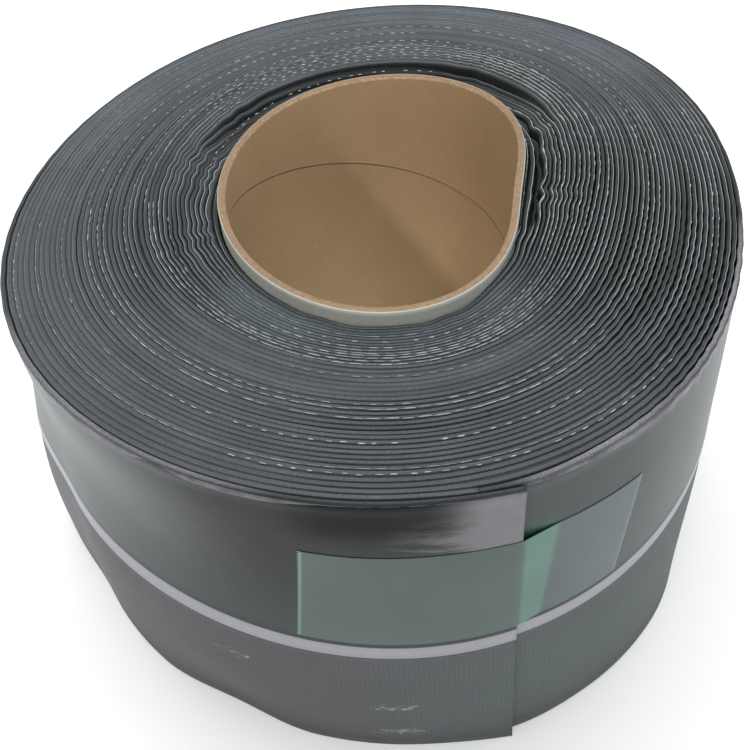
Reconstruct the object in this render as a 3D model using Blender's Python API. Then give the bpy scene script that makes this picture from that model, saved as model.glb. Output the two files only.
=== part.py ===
"""A roll of sealing tape standing on its end: a long black strip wound on an oval
cardboard core, its free end held down at the front by a green adhesive strip.

Metres, +Z up. The front of the roll faces -Y. Angles are in degrees, anticlockwise
from +X as seen from above, so the front is at -90. The roll is modelled round its own
axis and then moved so that the middle of its bounding box's base is the origin.
"""

import math

import bmesh
import bpy

# The strip of tape and how it is wound.
TAPE_WIDTH = 0.150
TAPE_THICKNESS = 0.00175
TURNS = 42
FREE_END = -75.3

# The free end springs off the turn below at its two corners, fading out over this many
# degrees.
LIFT = 0.0027
LIFT_SPREAD = 14

# The cardboard core. It stands proud of the wound face and is flush at the base.
CORE_BORE_RADIUS = 0.0612
CORE_WALL = 0.003
CORE_LENGTH = 0.155
CORE_CENTRE = (-0.0007, 0.0054)

# Both outlines are ovals: circles with a few shallow lobes, each given by how many
# crests it has round the turn, its height and the angle of one crest.
CORE_LOBES = ((2, 0.0074, 82.5), (3, 0.0025, 46), (4, 0.0006, 28))
ROLL_LOBES = ((2, 0.0042, 72), (3, 0.0019, 57), (4, 0.0010, 29))

# How the soft roll has sagged out of the outline of its top: a bulge low on the left,
# a hollow above it and a foot that is drawn in at the front and on the right. For each,
# how far it comes out, its angle and half-width, and its height and the reach from there.
SWELLS = (
    (0.0130, 183, 25, 0.022, 0.128),
    (-0.0050, -135, 45, 0.100, 0.050),
    (-0.0027, -111, 97, 0.0, 0.043),
    (-0.0027, -120, 15, 0.0, 0.045),
    (-0.0014, -53, 39, 0.062, 0.063),
    (-0.0087, -6, 38, 0.0, 0.054),
)

# The green strip: each end is cut on a slant, so it has an angle at its lower edge and
# one at its upper edge, and so has the line where it meets the turn below the free end.
STRIP_BASE = 0.0756
STRIP_WIDTH = 0.0486
STRIP_THICKNESS = 0.0003
STRIP_LEFT = (-105.3, -103.2)
STRIP_LANDING = (-71.5, -69.6)
STRIP_RIGHT = (-59.0, -56.6)

# The turns on the two end faces: bands of three turns, every second one set back.
BANDS = 14
BAND_SETBACK = 0.0006

CLEARANCE = 0.0003
SEGMENTS = 72
WALL_LEVELS = 8
STEP_ANGLE = 0.1
SHARP_ANGLE = 30

CORE_RADIUS = CORE_BORE_RADIUS + CORE_WALL
ROLL_RADIUS = CORE_RADIUS + CLEARANCE + TURNS * TAPE_THICKNESS


def clear_scene():
    """Remove every object, so that the script can run again in an open file."""
    for thing in list(bpy.data.objects):
        bpy.data.objects.remove(thing, do_unlink=True)


def material(name, colour, roughness):
    """A non-metallic Principled material."""
    made = bpy.data.materials.new(name)
    made.use_nodes = True
    shader = made.node_tree.nodes["Principled BSDF"]
    shader.inputs["Base Color"].default_value = (*colour, 1.0)
    shader.inputs["Roughness"].default_value = roughness
    shader.inputs["Metallic"].default_value = 0.0
    made.diffuse_color = (*colour, 1.0)
    return made


def add_loft(name, sections, closed, surface):
    """An object whose skin joins loops of equal length in order.

    A closed loft joins its last loop to its first. An open one has a cap at each end.
    """
    mesh = bpy.data.meshes.new(name)
    skin = bmesh.new()
    loops = [[skin.verts.new(point) for point in section] for section in sections]
    count = len(loops[0])
    following = loops[1:] + loops[:1] if closed else loops[1:]
    for loop, after in zip(loops, following):
        for i in range(count):
            j = (i + 1) % count
            skin.faces.new((loop[i], loop[j], after[j], after[i]))
    if not closed:
        skin.faces.new(loops[0])
        skin.faces.new(loops[-1])
    bmesh.ops.recalc_face_normals(skin, faces=skin.faces[:])
    skin.to_mesh(mesh)
    skin.free()
    mesh.shade_smooth()
    mesh.set_sharp_from_angle(angle=math.radians(SHARP_ANGLE))
    mesh.materials.append(surface)
    made = bpy.data.objects.new(name, mesh)
    bpy.context.collection.objects.link(made)
    return made


def lobed_radius(radius, lobes, angle):
    """The radius of a lobed outline at an angle."""
    heights = (
        height * math.cos(crests * math.radians(angle - crest_angle))
        for crests, height, crest_angle in lobes
    )
    return radius + sum(heights)


def polar(radius, angle):
    """X and Y of a point given by its radius and angle."""
    turn = math.radians(angle)
    return radius * math.cos(turn), radius * math.sin(turn)


def fade(distance, reach):
    """One at no distance, falling smoothly to nothing at the reach."""
    if abs(distance) >= reach:
        return 0.0
    return math.cos(math.pi / 2 * distance / reach) ** 2


def swell(angle, height):
    """How far the wall stands outside the outline of the roll's top."""
    total = 0.0
    for amount, centre, spread, level, reach in SWELLS:
        away = (angle - centre + 180) % 360 - 180
        total += amount * fade(away, spread) * fade(height - level, reach)
    return total


def roll_radius(angle, height):
    """The roll's outline at a height, before the step of its free end."""
    return lobed_radius(ROLL_RADIUS, ROLL_LOBES, angle) + swell(angle, height)


def wall_radius(angle, height):
    """The outer turn's face, which comes in by one thickness round the whole turn."""
    unwound = (FREE_END - angle) % 360
    winding = TAPE_THICKNESS * (0.5 - unwound / 360)
    sprung = LIFT * max(0, 1 - unwound / LIFT_SPREAD) ** 2
    at_edges = (2 * height / TAPE_WIDTH - 1) ** 2
    return roll_radius(angle, height) + winding + sprung * at_edges


def turn_angles():
    """Angles round one turn, back from the free end, with the step's far side last."""
    around = [FREE_END - 360 * i / SEGMENTS for i in range(SEGMENTS)]
    return around + [FREE_END + STEP_ANGLE - 360]


def wall_loop(height):
    """The outer turn's face at one height."""
    points = (polar(wall_radius(angle, height), angle) for angle in turn_angles())
    return [(x, y, height) for x, y in points]


def core_loop(offset, height):
    """A loop round the core's own centre, a distance outside its bore."""
    loop = []
    for angle in turn_angles():
        radius = lobed_radius(CORE_BORE_RADIUS + offset, CORE_LOBES, angle)
        loop.append((*polar(radius, angle), height))
    return loop


def turn_loop(share, level, height):
    """A loop on an end face, a share of the way from the bore to the outer wall.

    The level is the plane of that end, and the height is where the loop lies.
    """
    loop = []
    for angle, inner in zip(turn_angles(), core_loop(CORE_WALL + CLEARANCE, height)):
        x, y = polar(roll_radius(angle, level), angle)
        from_x = inner[0] + CORE_CENTRE[0]
        from_y = inner[1] + CORE_CENTRE[1]
        loop.append((from_x + share * (x - from_x), from_y + share * (y - from_y), height))
    return loop


def end_loops(level, inward):
    """The loops of one end face from its outer edge in to the bore.

    The outermost band is flush with the edge. Inward is the direction, up or down,
    in which a band that is set back lies.
    """
    heights = [level + inward * BAND_SETBACK * (band % 2) for band in range(BANDS)]
    loops = []
    for band in range(1, BANDS):
        share = 1 - band / BANDS
        loops.append(turn_loop(share, level, heights[band - 1]))
        loops.append(turn_loop(share, level, heights[band]))
    loops.append(turn_loop(0, level, heights[-1]))
    return loops


def tape_roll(surface):
    """The wound tape as one solid with its bore."""
    wall = [wall_loop(TAPE_WIDTH * i / WALL_LEVELS) for i in range(WALL_LEVELS + 1)]
    top = end_loops(TAPE_WIDTH, -1)
    base = end_loops(0, 1)
    return add_loft("tape_roll", wall + top + base[::-1], True, surface)


def core(surface):
    """The cardboard tube, modelled round its own centre."""
    loops = [
        core_loop(CORE_WALL, 0),
        core_loop(CORE_WALL, CORE_LENGTH),
        core_loop(0, CORE_LENGTH),
        core_loop(0, 0),
    ]
    made = add_loft("core", loops, True, surface)
    made.location = (*CORE_CENTRE, 0)
    return made


def strip_stations():
    """The angles of the green strip's corners at its lower and upper edge, in order.

    It bends with the wall's own corners, except where it bridges the free end's step.
    """
    stations = [STRIP_LEFT, STRIP_LANDING, STRIP_RIGHT]
    for angle in turn_angles()[:-1]:
        corner = angle if angle > -180 else angle + 360
        on_wall = STRIP_LEFT[1] < corner < STRIP_RIGHT[0]
        bridged = FREE_END + STEP_ANGLE < corner < STRIP_LANDING[1]
        if on_wall and not bridged:
            stations.append((corner, corner))
    return sorted(stations)


def strip_section(lower_angle, upper_angle):
    """The four corners of the green strip's section at a station."""
    inside = CLEARANCE
    outside = CLEARANCE + STRIP_THICKNESS
    upper = STRIP_BASE + STRIP_WIDTH
    corners = (
        (lower_angle, STRIP_BASE, inside),
        (lower_angle, STRIP_BASE, outside),
        (upper_angle, upper, outside),
        (upper_angle, upper, inside),
    )
    return [
        (*polar(wall_radius(angle, height) + offset, angle), height)
        for angle, height, offset in corners
    ]


def closing_strip(surface):
    """The green adhesive strip over the free end."""
    sections = [strip_section(*station) for station in strip_stations()]
    return add_loft("closing_strip", sections, False, surface)


def base_middle():
    """The middle of the roll's bounding box, seen from above."""
    heights = [TAPE_WIDTH * i / WALL_LEVELS for i in range(WALL_LEVELS + 1)]
    points = [point for height in heights for point in wall_loop(height)]
    return [
        (min(point[axis] for point in points) + max(point[axis] for point in points)) / 2
        for axis in range(2)
    ]


def build():
    """Make the three pieces and stand them over the origin."""
    clear_scene()
    tape = material("tape_black", (0.06, 0.065, 0.07), 0.5)
    board = material("core_board", (0.42, 0.31, 0.2), 0.9)
    green = material("strip_green", (0.13, 0.28, 0.22), 0.3)
    middle = base_middle()
    stand = bpy.data.objects.new("roll_axis", None)
    stand.location = (-middle[0], -middle[1], 0)
    bpy.context.collection.objects.link(stand)
    for piece in (tape_roll(tape), core(board), closing_strip(green)):
        piece.parent = stand


build()
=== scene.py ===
"""The looks of a roll of sealing tape that stands on its end.

The winding is modelled as the real one is: one strip that spirals out from an oval
cardboard core, with every turn's edge standing on the two ends. Angles are in degrees,
anticlockwise from +X as seen from above, so the front of the roll is at -90. A turn is
counted from the core, and the free end is at the last one. A share is how far a turn
lies on the way from the core to the outer wall.
"""

import math

import bpy
import numpy as np
from mathutils import Matrix, Vector


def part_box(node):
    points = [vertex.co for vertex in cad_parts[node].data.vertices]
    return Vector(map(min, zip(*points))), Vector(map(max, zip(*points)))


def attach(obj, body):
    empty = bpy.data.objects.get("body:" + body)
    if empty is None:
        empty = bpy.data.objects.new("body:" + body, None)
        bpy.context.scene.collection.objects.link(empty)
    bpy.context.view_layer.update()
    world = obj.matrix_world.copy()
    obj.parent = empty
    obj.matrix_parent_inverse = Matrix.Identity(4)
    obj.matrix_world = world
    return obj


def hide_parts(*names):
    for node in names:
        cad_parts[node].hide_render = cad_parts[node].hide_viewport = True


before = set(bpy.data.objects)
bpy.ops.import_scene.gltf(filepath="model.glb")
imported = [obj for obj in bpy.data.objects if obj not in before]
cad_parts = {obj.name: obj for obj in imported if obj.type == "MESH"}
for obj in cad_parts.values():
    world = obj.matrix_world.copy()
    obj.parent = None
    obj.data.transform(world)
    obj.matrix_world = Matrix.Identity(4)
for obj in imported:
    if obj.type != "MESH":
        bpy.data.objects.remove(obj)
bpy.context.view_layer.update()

# The winding and the core, with the same driving values as the solids.
TAPE_THICKNESS = 0.00175
TURNS = 42
FREE_END = -75.3
LIFT = 0.0027
LIFT_SPREAD = 14
CORE_BORE_RADIUS = 0.0612
CORE_WALL = 0.003
CORE_CENTRE = (-0.0007, 0.0054)
CORE_LOBES = ((2, 0.0074, 82.5), (3, 0.0025, 46), (4, 0.0006, 28))
ROLL_LOBES = ((2, 0.0042, 72), (3, 0.0019, 57), (4, 0.0010, 29))
SWELLS = (
    (0.0130, 183, 25, 0.022, 0.128),
    (-0.0050, -135, 45, 0.100, 0.050),
    (-0.0027, -111, 97, 0.0, 0.043),
    (-0.0027, -120, 15, 0.0, 0.045),
    (-0.0014, -53, 39, 0.062, 0.063),
    (-0.0087, -6, 38, 0.0, 0.054),
)
CLEARANCE = 0.0003
STRIP_LEFT = (-105.3, -103.2)
STRIP_LANDING = (-71.5, -69.6)
STRIP_RIGHT = (-59.0, -56.6)

TAPE_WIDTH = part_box("tape_roll")[1][2]
CORE_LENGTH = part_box("core")[1][2]
STRIP_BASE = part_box("closing_strip")[0][2]
STRIP_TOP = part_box("closing_strip")[1][2]
CORE_RADIUS = CORE_BORE_RADIUS + CORE_WALL
ROLL_RADIUS = CORE_RADIUS + CLEARANCE + TURNS * TAPE_THICKNESS

# The outline is drawn in by this much, so that film and edges stay inside the solids.
SKIN = 0.00056

# The squashed core has pushed the turns to the back: by how much, at which shares.
SKEW_SHARES = (0.0, 0.10, 0.20, 0.35, 0.57, 0.745, 0.86, 0.972, 1.0)
SKEW = (0.0, 0.026, 0.052, 0.098, 0.065, 0.0475, 0.031, 0.0, 0.0)

# The first turns lie closer than the rest: turns counted from the core, and as laid.
COUNTED = (0.0, 1.0, 3.0, 43.0)
LAID = (0.0, 0.2, 3.0, 43.0)

# The free end's upper corner springs less than its lower one, and lifts the two turns
# below it by this much.
LIFT_LOSS = 0.4
LIFT_BELOW = (0.0011, 0.0005)

# Steps round one turn, and the turns at which the winding is split into pieces.
STEPS = 540
GROUPS = (0, 14, 28, 40.985)

# The camera, worked out from the photograph's 750 pixel frame: the focal length and
# the point under the lens in pixels, the pitch and roll in degrees, and its place
# from the roll's axis in roll radii.
FRAME_PIXELS = 750
FOCAL_PIXELS = 1180.5
LENS_POINT = (388.0, 328.9)
PITCH = 44.205
ROLL_TILT = 3.78
CAMERA_BACK = 2.5085
CAMERA_HEIGHT = 3.0329
SENSOR = 36.0

# Half the floor's side, and how far the bore's lamps are from the core's rim.
FLOOR_REACH = 4.0
BORE_LAMP_REACH = 1.5


def lobed_radius(radius, lobes, angle):
    """The radius of a lobed outline at an angle."""
    total = radius
    for crests, height, crest_angle in lobes:
        total = total + height * np.cos(crests * np.radians(angle - crest_angle))
    return total


def fade(distance, reach):
    """One at no distance, falling smoothly to nothing at the reach."""
    inside = np.abs(distance) < reach
    return np.where(inside, np.cos(math.pi / 2 * distance / reach) ** 2, 0.0)


def near(angle, centre, spread):
    """One at the centre angle, falling smoothly to nothing at the spread."""
    return fade((angle - centre + 180) % 360 - 180, spread)


def ramp(value, low, high):
    """Nothing at the low value, one at the high one, with eased ends."""
    t = np.clip((value - low) / (high - low), 0, 1)
    return t * t * (3 - 2 * t)


def plateau(angle, start, end, soft):
    """One between two angles, fading out over the soft angle beyond each."""
    middle = (start + end) / 2
    half = (end - start) / 2
    away = np.abs((angle - middle + 180) % 360 - 180)
    return 1 - ramp(away, half, half + soft)


def swell(angle, height):
    """How far the wall stands outside the outline of the roll's top."""
    total = 0.0
    for amount, centre, spread, level, reach in SWELLS:
        total = total + amount * near(angle, centre, spread) * fade(height - level, reach)
    return total


def roll_radius(angle, height):
    """The roll's outline at a height, midway through the step of its free end."""
    return lobed_radius(ROLL_RADIUS, ROLL_LOBES, angle) + swell(angle, height) - SKIN


def roll_axis():
    """Where the roll's axis stands in the frame, from the box of its outline."""
    low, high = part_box("tape_roll")
    angle = np.linspace(-180, 180, 3601)
    unwound = (FREE_END - angle) % 360
    reach_x = []
    reach_y = []
    for height in np.linspace(0, TAPE_WIDTH, 9):
        radius = roll_radius(angle, height) + SKIN + TAPE_THICKNESS * (0.5 - unwound / 360)
        reach_x += list(radius * np.cos(np.radians(angle)))
        reach_y += list(radius * np.sin(np.radians(angle)))
    middle_x = (min(reach_x) + max(reach_x)) / 2
    middle_y = (min(reach_y) + max(reach_y)) / 2
    return (low[0] + high[0]) / 2 - middle_x, (low[1] + high[1]) / 2 - middle_y


AXIS = roll_axis()


def turn_angle(turn):
    """The angle at which a turn, counted from the core, lies."""
    return FREE_END + 360 * (turn - TURNS)


def noise_along(turn, seed, low, high):
    """A smooth wander along the winding, between about -1 and 1, new on every turn."""
    rng = np.random.default_rng(seed)
    total = 0.0
    for _ in range(7):
        cycles = rng.uniform(low, high)
        total = total + np.sin(2 * math.pi * cycles * turn + rng.uniform(0, 2 * math.pi))
    return total / math.sqrt(7) / 1.2


def noise_nested(turn, seed, drift, low, high):
    """A wander round the roll that neighbouring turns share, but for a small drift."""
    rng = np.random.default_rng(seed)
    total = 0.0
    for _ in range(6):
        cycles = round(rng.uniform(low, high))
        phase = rng.uniform(0, 2 * math.pi) + drift * rng.uniform(-1, 1) * turn
        total = total + np.sin(cycles * np.radians(turn_angle(turn)) + phase)
    return total / math.sqrt(6) / 1.2


def kinked(cycles):
    """A wave of nearly straight flanks and eased corners."""
    return np.arcsin(0.85 * np.sin(2 * math.pi * cycles)) / 1.02


def waves(turn, count, drift, seed, uneven):
    """Kinks round the roll, which neighbouring turns share but for a drift in cycles."""
    cycles = count * turn_angle(turn) / 360 + drift * turn
    return kinked(cycles + uneven * noise_nested(turn, seed, 0.12, 3, 11))


# Zones of the winding: a sector (its two angles and how softly it ends), and the shares
# between which the zone sets in and fades out.
SWAYED = ((-22, 60, 20), (0.045, 0.075), (0.2, 0.4))
RIPPLED_SIDES = (
    ((-25, 65, 30), (0.12, 0.3), ()),
    ((150, 215, 30), (0.25, 0.4), ()),
)

# Buckles of the inner turns: height, the terms of their waves, and their zone.
BUCKLES = (
    (0.00026, (29, -0.035, 51, 0.6), ((-14, 56, 26), (0.02, 0.07), (0.11, 0.33))),
    (0.00046, (31, 0.05, 52, 0.8), ((136, 214, 28), (0.02, 0.06), (0.13, 0.45))),
    (0.00035, (21, 0.0, 53, 0.4), ((-112, -30, 24), (), (0.05, 0.14))),
)
SWAY = 0.00070
SCALLOP = 0.00017
SIDE_RIPPLE = 0.00007


def zone(turn, share, sector, sets_in, fades_out):
    """One inside a zone of the winding, nothing outside it."""
    inside = plateau(turn_angle(turn), *sector)
    if sets_in:
        inside = inside * ramp(share, *sets_in)
    if fades_out:
        inside = inside * (1 - ramp(share, *fades_out))
    return inside


def buckle(turn, share):
    """How far the inner turns are buckled out, where the squashed core left them slack."""
    total = 0.0
    for height, terms, place in BUCKLES:
        total = total + height * zone(turn, share, *place) * waves(turn, *terms)
    sway = zone(turn, share, *SWAYED) * (1 - 0.6 * ramp(share, 0.08, 0.14))
    size = 1 + 0.55 * noise_nested(turn, 41, 0.35, 4, 17)
    return size * total + SWAY * sway * waves(turn, 22, -0.02, 56, 0.25)


def ripple(turn, share):
    """Fine scallops in the outer turns at the front right, and fainter ones at the sides."""
    front = near(turn_angle(turn), -38, 40) * ramp(share, 0.25, 0.6)
    sides = np.maximum(*(zone(turn, share, *place) for place in RIPPLED_SIDES))
    scallops = SCALLOP * front * waves(turn, 104, 0.21, 54, 0.9)
    return scallops + SIDE_RIPPLE * sides * waves(turn, 67, 0.14, 55, 0.6)


def wander(turn, share):
    """The uneven lie of the turns."""
    near_core = np.exp(-share / 0.12)
    return (0.00014 + 0.00012 * near_core) * noise_along(turn, 11, 0.4, 5.0)


def sprung(turn, height):
    """How far the corners of the free end, and the turns below them, have sprung out."""
    unwound = 360 * (TURNS - turn)
    at_edges = (2 * height / TAPE_WIDTH - 1) ** 2
    lift = LIFT * (1 - LIFT_LOSS * height / TAPE_WIDTH)
    total = lift * np.clip(1 - np.abs(unwound) / LIFT_SPREAD, 0, 1) ** 2
    for laps, amount in enumerate(LIFT_BELOW, start=1):
        total = total + amount * fade(unwound - 360 * laps, LIFT_SPREAD)
    return total * at_edges


def wound_xy(turn, across, height):
    """X and Y of a point in the winding: across is 0 on the tape's inner face, 1 outside."""
    angle = turn_angle(turn)
    share = np.interp(turn + across, COUNTED, LAID) / (TURNS + 1)
    radians = np.radians(angle)
    shown = share + np.interp(share, SKEW_SHARES, SKEW) * np.sin(radians)
    inner = lobed_radius(CORE_RADIUS + CLEARANCE, CORE_LOBES, angle)
    outer = roll_radius(angle, height) + TAPE_THICKNESS / 2
    inner_x = CORE_CENTRE[0] + inner * np.cos(radians)
    inner_y = CORE_CENTRE[1] + inner * np.sin(radians)
    below_hem = 1 - ramp(height, 0.140, 0.149)
    under = 1 - ramp(turn + across, TURNS - 0.9, TURNS - 0.2) * below_hem
    extra = (buckle(turn, share) + ripple(turn, share) + wander(turn, share)) * under
    extra = extra + sprung(turn, height)
    x = inner_x + shown * (outer * np.cos(radians) - inner_x) + extra * np.cos(radians)
    y = inner_y + shown * (outer * np.sin(radians) - inner_y) + extra * np.sin(radians)
    return AXIS[0] + x, AXIS[1] + y


# The edge of one turn as it stands on an end: across the tape, how proud of the end,
# and what shows there: gap, flank, face, film line.
GAP, FLANK, FACE, LINE = range(4)
EDGE = (
    (0.00, -0.00150, GAP),
    (0.09, -0.00040, FLANK),
    (0.24, -0.00008, FACE),
    (0.50, 0.00000, FACE),
    (0.72, -0.00006, FACE),
    (0.76, 0.00010, LINE),
    (0.82, 0.00010, LINE),
    (0.87, -0.00030, FLANK),
)
BASE_EDGE = ((0.00, -0.0009, GAP), (0.18, -0.0001, FACE), (0.78, -0.0001, FACE))
SIDE_LEVELS = tuple(TAPE_WIDTH * i / 10 for i in range(9, 0, -1))


# What the turns' edges look like where: the strength of each zone, and the zone. The
# first turns have sunk beside the core and are painted in shade, slack turns stand apart
# with painted shade in the gaps between them, tight ones show little, and close ones
# have shallow joints.
SUNK = (
    (1.0, (52, 132, 34), (), (0.165, 0.19)),
    (1.0, (-18, 60, 16), (0.026, 0.036), (0.060, 0.072)),
)
SLACK = (
    (1.0, (-32, 14, 26), (), ()),
    (1.0, (-30, 52, 30), (), (0.3, 0.46)),
    (0.5, (150, 200, 35), (), (0.3, 0.8)),
)
TIGHT = (
    (1.0, (-128, -66, 14), (0.36, 0.40), (0.50, 0.54)),
    (0.7, (-128, -48, 16), (0.03, 0.07), (0.34, 0.40)),
    (0.75, (70, 140, 30), (0.42, 0.5), ()),
    (0.8, (-134, -112, 9), (0.06, 0.09), (0.2, 0.26)),
)
CLOSE = (
    (1.0, (-176, -112, 30), (0.24, 0.36), ()),
    (0.55, (-112, -62, 20), (0.5, 0.62), ()),
)
SUNK_DEPTH = 0.0050
FIRST_TURNS_DEPTH = 0.0013
PUSHED_UP = 0.0034


def among(turn, zones):
    """How strongly turns belong to the zones: 0 to 1."""
    share = turn / (TURNS + 1)
    found = [strength * zone(turn, share, *place) for strength, *place in zones]
    return np.max(found, axis=0)


def edge_rise(turn, proud, level):
    """Height of an edge point: turns stand unevenly and the gaps differ in depth."""
    if level == 0:
        return -np.minimum(proud, 0.0) * np.ones_like(turn)
    share = turn / (TURNS + 1)
    uneven = 0.00013 * noise_along(turn, 23, 0.3, 4.0)
    shallow = np.maximum(among(turn, TIGHT), 0.9 * among(turn, CLOSE))
    deep = 1 + 2.0 * among(turn, SLACK) - 0.75 * shallow
    high = plateau(turn_angle(turn), -48, 12, 24) * np.exp(-share / 0.07)
    dip = -FIRST_TURNS_DEPTH * np.exp(-share / 0.03) - SUNK_DEPTH * among(turn, SUNK)
    return level + proud * deep + uneven + dip + PUSHED_UP * high


def quads(first, second, order=1):
    """Faces between two rows of point numbers, turned over where the order is -1."""
    corners = zip(first, second, second[1:], first[1:])
    return [corner[::order] for corner in corners]


def new_object(name, points, colours, faces, materials, maps=None, kinds=None):
    """A mesh object from arrays of points and of their colours.

    It may have a UV pair for each point, and a material index for each face.
    """
    mesh = bpy.data.meshes.new(name)
    sizes = [len(face) for face in faces]
    corners = np.fromiter((v for face in faces for v in face), dtype=np.int32)
    points = np.concatenate(points).astype(np.float32)
    mesh.vertices.add(len(points))
    mesh.vertices.foreach_set("co", points.ravel())
    mesh.loops.add(len(corners))
    mesh.loops.foreach_set("vertex_index", corners)
    mesh.polygons.add(len(faces))
    starts = np.concatenate([[0], np.cumsum(sizes)[:-1]]).astype(np.int32)
    mesh.polygons.foreach_set("loop_start", starts)
    for material in materials:
        mesh.materials.append(material)
    if kinds is not None:
        mesh.polygons.foreach_set("material_index", np.asarray(kinds, dtype=np.int32))
    if maps is not None:
        layer = mesh.uv_layers.new(name="tape")
        uv = np.concatenate(maps).astype(np.float32)[corners]
        layer.data.foreach_set("uv", uv.ravel())
    mesh.update(calc_edges=True)
    layer = mesh.color_attributes.new("shade", "FLOAT_COLOR", "POINT")
    layer.data.foreach_set("color", np.concatenate(colours).astype(np.float32).ravel())
    mesh.validate()
    mesh.shade_smooth()
    made = bpy.data.objects.new(name, mesh)
    bpy.context.collection.objects.link(made)
    return made


class Graph:
    """The nodes of one material, made with short calls."""

    def __init__(self, name):
        self.material = bpy.data.materials.new(name)
        self.material.use_nodes = True
        self.nodes = self.material.node_tree.nodes
        self.links = self.material.node_tree.links
        self.shader = self.nodes["Principled BSDF"]

    def put(self, socket, value):
        """Link a socket, or set it where the value is a plain number or colour."""
        if isinstance(value, bpy.types.NodeSocket):
            self.links.new(value, socket)
        elif isinstance(value, tuple) and len(value) == 3 and socket.type == "RGBA":
            socket.default_value = (*value, 1.0)
        else:
            socket.default_value = value

    def set(self, **values):
        """Set the shader's own sockets, by name with underscores for spaces."""
        for name, value in values.items():
            self.put(self.shader.inputs[name.replace("_", " ")], value)

    def math(self, operation, first, second=0.0, third=0.0):
        node = self.nodes.new("ShaderNodeMath")
        node.operation = operation
        for socket, value in zip(node.inputs, (first, second, third)):
            self.put(socket, value)
        return node.outputs[0]

    def mix(self, factor, first, second):
        """Mix two colours."""
        node = self.nodes.new("ShaderNodeMix")
        node.data_type = "RGBA"
        self.put(node.inputs[0], factor)
        self.put(node.inputs[6], first)
        self.put(node.inputs[7], second)
        return node.outputs[2]

    def gain(self, colour, factor):
        """A colour times a number."""
        node = self.nodes.new("ShaderNodeVectorMath")
        node.operation = "SCALE"
        self.put(node.inputs[0], colour)
        self.put(node.inputs["Scale"], factor)
        return node.outputs[0]

    def noise(self, vector, scale, detail, roughness=0.55):
        node = self.nodes.new("ShaderNodeTexNoise")
        self.put(node.inputs["Vector"], vector)
        self.put(node.inputs["Scale"], scale)
        self.put(node.inputs["Detail"], detail)
        self.put(node.inputs["Roughness"], roughness)
        return node.outputs[0]

    def step(self, value, low, high):
        """Nothing below the low value, one above the high one, smooth between."""
        node = self.nodes.new("ShaderNodeMapRange")
        node.interpolation_type = "SMOOTHSTEP"
        self.put(node.inputs["Value"], value)
        self.put(node.inputs["From Min"], low)
        self.put(node.inputs["From Max"], high)
        return node.outputs[0]

    def between(self, value, low, high, soft):
        """One between two values, with edges as soft as given."""
        rise = self.step(value, low - soft, low + soft)
        fall = self.math("SUBTRACT", 1.0, self.step(value, high - soft, high + soft))
        return self.math("MULTIPLY", rise, fall)

    def scaled(self, value, factor, added):
        """A value times a factor, and something added."""
        return self.math("MULTIPLY_ADD", value, factor, added)

    def without(self, mask):
        """One less a mask."""
        return self.math("SUBTRACT", 1.0, mask)

    def both(self, *factors):
        """The product of several masks or numbers."""
        total = factors[0]
        for factor in factors[1:]:
            total = self.math("MULTIPLY", total, factor)
        return total

    def uv(self):
        """The two coordinates of the tape's own map, in metres."""
        node = self.nodes.new("ShaderNodeUVMap")
        node.uv_map = "tape"
        split = self.nodes.new("ShaderNodeSeparateXYZ")
        self.links.new(node.outputs[0], split.inputs[0])
        return split.outputs[0], split.outputs[1]

    def vector(self, x, y, z=0.0):
        node = self.nodes.new("ShaderNodeCombineXYZ")
        for socket, value in zip(node.inputs, (x, y, z)):
            self.put(socket, value)
        return node.outputs[0]

    def position(self):
        return self.nodes.new("ShaderNodeTexCoord").outputs["Object"]

    def attribute(self, name):
        """The colour and the alpha of a colour attribute."""
        node = self.nodes.new("ShaderNodeVertexColor")
        node.layer_name = name
        return node.outputs[0], node.outputs[1]

    def bump(self, height, distance, strength):
        node = self.nodes.new("ShaderNodeBump")
        self.put(node.inputs["Height"], height)
        self.put(node.inputs["Distance"], distance)
        self.put(node.inputs["Strength"], strength)
        self.links.new(node.outputs[0], self.shader.inputs["Normal"])


def edge_material():
    """The turns' edges: dark compound with a thin light film line, worn and fibrous."""
    graph = Graph("tape_edges")
    place = graph.position()
    shade, _ = graph.attribute("shade")
    grain = graph.noise(place, 1100.0, 4.0, 0.7)
    cloud = graph.noise(place, 45.0, 4.0)
    lively = graph.scaled(grain, 1.7, 0.15)
    # The shade attribute carries painted shade in the gaps and a painted sheen.
    colour = graph.gain(shade, graph.both(lively, graph.scaled(cloud, 0.6, 0.7)))
    graph.set(Base_Color=colour, Roughness=0.55, Specular_IOR_Level=0.35)
    graph.bump(grain, 0.0002, 0.6)
    return graph.material


# Colours of the edges, of which the gap's is painted shade, and the zone where they are frayed.
GAP_SHADE_COLOUR = np.array((0.0025, 0.003, 0.0035))
FACE_COLOUR = np.array((0.048, 0.056, 0.063))
LINE_COLOUR = np.array((0.43, 0.48, 0.48))
HAZE_COLOUR = np.array((0.085, 0.105, 0.102))
HEM_COLOUR = np.array((0.17, 0.165, 0.18, 1.0))
FRAYED = ((-134, -112, 9), (0.04, 0.08), (0.2, 0.26))


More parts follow.
